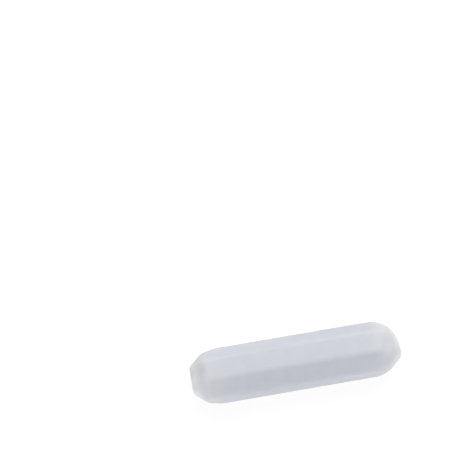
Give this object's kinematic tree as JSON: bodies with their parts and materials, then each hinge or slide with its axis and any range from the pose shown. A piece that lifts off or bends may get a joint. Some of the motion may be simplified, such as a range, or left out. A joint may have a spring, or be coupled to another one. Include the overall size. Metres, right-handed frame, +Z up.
{
  "type": "magnetic stir bar",
  "caption": "Octagonal magnetic stir bar: a rod magnet sealed in a white moulded jacket with rounded ridges and coned ends.",
  "frame": {"origin": "middle of the bar's length and width, on the surface that the bar rests on", "axes": "+X along the bar's axis towards the end whose face is askew, +Z up, square to the facet that it rests on"},
  "size_m": [0.0381, 0.0094, 0.0095],
  "materials": {
    "jacket": "smooth waxy white fluoropolymer, slightly translucent, greyed where the magnet lies under it",
    "magnet": "bare cast magnet alloy, ground round, grey"
  },
  "bodies": {
    "root": {"ptfe_jacket": "jacket", "magnet_rod": "magnet"}
  },
  "joints": []
}
